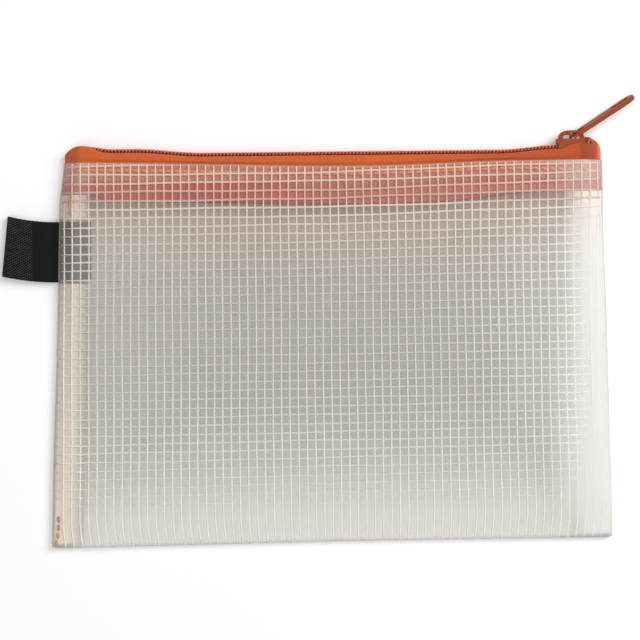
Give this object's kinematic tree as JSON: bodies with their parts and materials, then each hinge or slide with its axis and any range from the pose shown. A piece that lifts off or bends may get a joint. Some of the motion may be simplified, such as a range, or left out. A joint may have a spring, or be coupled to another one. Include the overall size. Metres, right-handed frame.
{
  "type": "document wallet",
  "caption": "Flat zipped pouch of clear mesh-reinforced film for papers, with a sliding zip along its mouth and a folded webbing tab in one side seam.",
  "frame": {"origin": "centre of the back film's outer face, on the surface that the wallet lies on", "axes": "+Z out of the front film, +Y to the zipped mouth, +X to the end where the closed zip's slider is parked"},
  "size_m": [0.1975, 0.1396, 0.0079],
  "materials": {
    "film": "clear film with a woven scrim laminated in it, satin and slightly milky",
    "zip_tape": "woven orange tape",
    "coil": "brick-red moulded coil",
    "slider_paint": "copper-orange lacquer over cast metal",
    "webbing": "black woven webbing",
    "thread": "orange sewing thread"
  },
  "bodies": {
    "pouch": {"front_panel": "film", "back_panel": "film", "bottom_fold": "film", "front_top_hem": "film", "back_top_hem": "film", "left_seam_tuck": "film", "right_seam_tuck": "film", "front_zip_tape": "zip_tape", "back_zip_tape": "zip_tape", "front_coil": "coil", "back_coil": "coil", "front_tape_stitches": "thread", "back_tape_stitches": "thread", "left_seam_stitches": "thread", "right_seam_stitches": "thread", "tab_root": "webbing"},
    "slider": {"slider_body": "slider_paint"},
    "puller": {"puller": "slider_paint"},
    "tab": {"tab_loop": "webbing"}
  },
  "joints": [
    {"name": "zip_slide", "type": "slide", "parent": "pouch", "child": "slider", "axis": [1, 0, 0], "range_m": [-0.139, 0], "deforming": ["front_coil", "back_coil"]},
    {"name": "puller_swing", "type": "hinge", "parent": "slider", "child": "puller", "pos_m": [0.07648, 0.0671, 0.00395], "axis": [0, 0, 1], "range_deg": [-20, 100]},
    {"name": "tab_flap", "type": "hinge", "parent": "pouch", "child": "tab", "pos_m": [-0.08636, 0.0322, 0.0016], "axis": [0, 1, 0], "range_deg": [-80, 80]}
  ]
}
